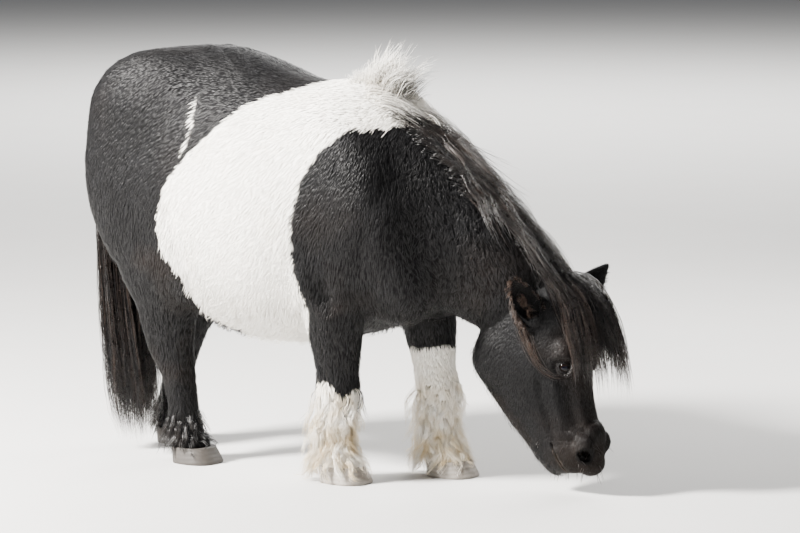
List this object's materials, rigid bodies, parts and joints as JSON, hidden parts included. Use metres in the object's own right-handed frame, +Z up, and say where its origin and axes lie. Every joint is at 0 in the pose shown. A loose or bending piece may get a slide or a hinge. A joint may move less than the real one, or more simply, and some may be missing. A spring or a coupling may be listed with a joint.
{
  "type": "shetland pony",
  "caption": "Life-size still model of a piebald Shetland pony standing and grazing, with mane, forelock, feathered feet and tail.",
  "frame": {"origin": "on the floor, under the middle of the pony's box", "axes": "+X towards the muzzle, +Y to the pony's left, +Z up"},
  "size_m": [1.475, 0.5572, 1.0739],
  "materials": {
    "coat": "dense winter coat, black patches on cream white, soft sheen",
    "long_hair": "coarse long black hair with brown ends, satin",
    "eyes": "wet dark brown, high gloss",
    "hooves": "grey-brown horn with fine growth rings"
  },
  "bodies": {
    "root": {"torso": "coat", "neck": "coat", "head": "coat", "ear_left": "coat", "ear_right": "coat", "eye_left": "eyes", "eye_right": "eyes", "tail": "long_hair", "foreleg_upper_left": "coat", "foreleg_upper_right": "coat", "foreleg_lower_left": "coat", "foreleg_lower_right": "coat", "hindleg_upper_left": "coat", "hindleg_upper_right": "coat", "hindleg_lower_left": "coat", "hindleg_lower_right": "coat", "forehoof_left": "hooves", "forehoof_right": "hooves", "hindhoof_left": "hooves", "hindhoof_right": "hooves"}
  },
  "joints": []
}
